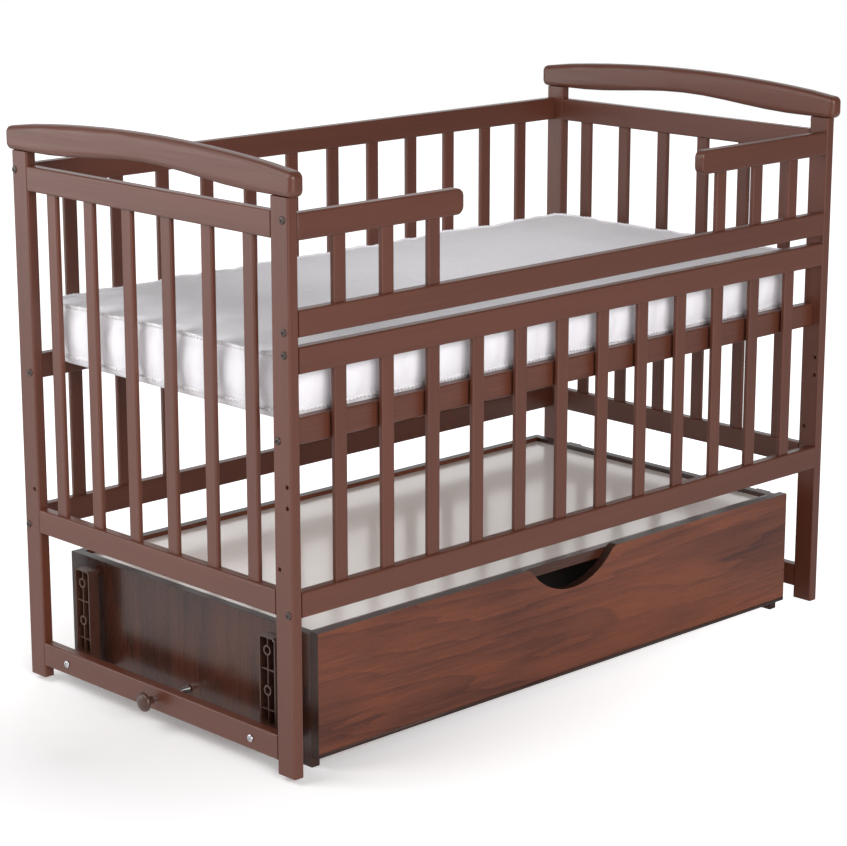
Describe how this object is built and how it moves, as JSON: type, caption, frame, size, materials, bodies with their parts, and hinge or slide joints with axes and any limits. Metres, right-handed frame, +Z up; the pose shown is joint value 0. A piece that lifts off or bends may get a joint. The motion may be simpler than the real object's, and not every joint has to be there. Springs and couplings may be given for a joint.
{
  "type": "baby crib",
  "caption": "Slatted baby crib hung on swinging pendulum arms from a floor cabinet with a wide drawer, with a mattress on a height-adjustable base.",
  "frame": {"origin": "on the floor under the middle of the crib", "axes": "+X along the bed, -Y the open side with the guard and the drawer, +Z up"},
  "size_m": [1.31, 0.69, 0.94],
  "materials": {
    "stained_wood": "satin",
    "walnut_laminate": "satin",
    "white_board": "satin",
    "pale_board": "satin",
    "base_slat_wood": "matte",
    "mattress_cover": "matte",
    "brown_plastic": "satin",
    "zinc_steel": "satin"
  },
  "bodies": {
    "cabinet": {"cabinet_side_left": "walnut_laminate", "cabinet_side_right": "walnut_laminate", "cabinet_back": "walnut_laminate", "cabinet_front_rail": "walnut_laminate", "cabinet_top": "white_board", "cabinet_floor": "walnut_laminate", "drawer_runner_left": "brown_plastic", "drawer_runner_right": "brown_plastic", "pivot_pin_front_left": "zinc_steel", "pivot_pin_rear_left": "zinc_steel", "pivot_pin_front_right": "zinc_steel", "pivot_pin_rear_right": "zinc_steel"},
    "drawer": {"drawer_front": "walnut_laminate", "drawer_side_left": "pale_board", "drawer_side_right": "pale_board", "drawer_back": "pale_board", "drawer_bottom": "white_board"},
    "arm_rear_left": {"arm_rear_left": "brown_plastic"},
    "arm_front_left": {"arm_front_left": "brown_plastic"},
    "arm_rear_right": {"arm_rear_right": "brown_plastic"},
    "arm_front_right": {"arm_front_right": "brown_plastic"},
    "crib": {"cap_left": "stained_wood", "end_upper_rail_left": "stained_wood", "end_slats_with_lower_rail_left": "stained_wood", "foot_rail_left": "stained_wood", "guard_top_rail_left": "stained_wood", "post_front_left": "stained_wood", "pivot_screw_front_left": "zinc_steel", "post_rear_left": "stained_wood", "pivot_screw_rear_left": "zinc_steel", "cap_right": "stained_wood", "end_upper_rail_right": "stained_wood", "end_slats_with_lower_rail_right": "stained_wood", "foot_rail_right": "stained_wood", "guard_top_rail_right": "stained_wood", "post_front_right": "stained_wood", "pivot_screw_front_right": "zinc_steel", "post_rear_right": "stained_wood", "pivot_screw_rear_right": "zinc_steel", "rear_slats_with_lower_rail": "stained_wood", "rear_top_rail": "stained_wood", "front_slats_with_lower_rail": "stained_wood", "front_top_rail": "stained_wood", "guard_slats_with_lower_rail": "stained_wood"},
    "base": {"base_rail_front": "stained_wood", "base_rail_rear": "stained_wood", "base_slat_1": "base_slat_wood", "base_slat_2": "base_slat_wood", "base_slat_3": "base_slat_wood", "base_slat_4": "base_slat_wood", "base_slat_5": "base_slat_wood", "base_slat_6": "base_slat_wood", "base_slat_7": "base_slat_wood", "base_slat_8": "base_slat_wood"},
    "mattress": {"mattress": "mattress_cover"},
    "lock_left": {"lock_pin_left": "zinc_steel", "lock_knob_left": "brown_plastic"},
    "lock_right": {"lock_pin_right": "zinc_steel", "lock_knob_right": "brown_plastic"}
  },
  "joints": [
    {"name": "swing", "type": "hinge", "parent": "cabinet", "child": "arm_rear_left", "pos_m": [-0.5805, 0.231, 0.194], "axis": [1, 0, 0], "range_deg": [-12, 12]},
    {"name": "crib_level", "type": "hinge", "parent": "arm_rear_left", "child": "crib", "pos_m": [-0.5805, 0.231, 0.049], "axis": [1, 0, 0], "range_deg": [-12, 12]},
    {"name": "arm_front_left_turn", "type": "hinge", "parent": "cabinet", "child": "arm_front_left", "pos_m": [-0.5805, -0.231, 0.194], "axis": [1, 0, 0], "range_deg": [-12, 12]},
    {"name": "arm_rear_right_turn", "type": "hinge", "parent": "cabinet", "child": "arm_rear_right", "pos_m": [0.5805, 0.231, 0.194], "axis": [1, 0, 0], "range_deg": [-12, 12]},
    {"name": "arm_front_right_turn", "type": "hinge", "parent": "cabinet", "child": "arm_front_right", "pos_m": [0.5805, -0.231, 0.194], "axis": [1, 0, 0], "range_deg": [-12, 12]},
    {"name": "drawer_slide", "type": "slide", "parent": "cabinet", "child": "drawer", "axis": [0, -1, 0], "range_m": [0, 0.4]},
    {"name": "base_height", "type": "slide", "parent": "crib", "child": "base", "axis": [0, 0, 1], "range_m": [-0.194, 0]},
    {"name": "mattress_lift", "type": "slide", "parent": "base", "child": "mattress", "axis": [0, 0, 1], "range_m": [0, 0.4]},
    {"name": "lock_left_pull", "type": "slide", "parent": "crib", "child": "lock_left", "axis": [-1, 0, 0], "range_m": [0, 0.018]},
    {"name": "lock_right_pull", "type": "slide", "parent": "crib", "child": "lock_right", "axis": [1, 0, 0], "range_m": [0, 0.018]}
  ],
  "couplings": [
    {"joint": "crib_level", "follows": "swing", "ratio": -1},
    {"joint": "arm_front_left_turn", "follows": "swing", "ratio": 1},
    {"joint": "arm_rear_right_turn", "follows": "swing", "ratio": 1},
    {"joint": "arm_front_right_turn", "follows": "swing", "ratio": 1}
  ]
}
